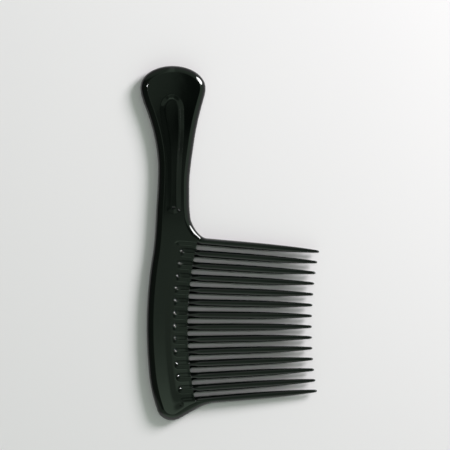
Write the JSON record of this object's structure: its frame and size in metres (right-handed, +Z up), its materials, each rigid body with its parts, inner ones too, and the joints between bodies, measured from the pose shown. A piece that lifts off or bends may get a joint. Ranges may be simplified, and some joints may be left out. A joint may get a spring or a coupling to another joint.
{
  "type": "detangling comb",
  "caption": "Flat moulded rake comb: flared handle with a shallow recess, bowed spine with low ribs behind the teeth, and long tapering rounded teeth.",
  "frame": {"origin": "middle of the bounding box at the height of the surface that the comb lies on", "axes": "+X along the teeth towards their tips, +Y along the comb's length towards the handle's rounded end, +Z up through the thickness"},
  "size_m": [0.1186, 0.228, 0.0084],
  "materials": {
    "black_plastic": "glossy black injection-moulded plastic"
  },
  "bodies": {
    "root": {"handle": "black_plastic", "spine": "black_plastic", "tooth_01": "black_plastic", "tooth_02": "black_plastic", "tooth_03": "black_plastic", "tooth_04": "black_plastic", "tooth_05": "black_plastic", "tooth_06": "black_plastic", "tooth_07": "black_plastic", "tooth_08": "black_plastic", "tooth_09": "black_plastic", "tooth_10": "black_plastic", "tooth_11": "black_plastic", "tooth_12": "black_plastic", "tooth_13": "black_plastic", "tooth_14": "black_plastic"}
  },
  "joints": []
}
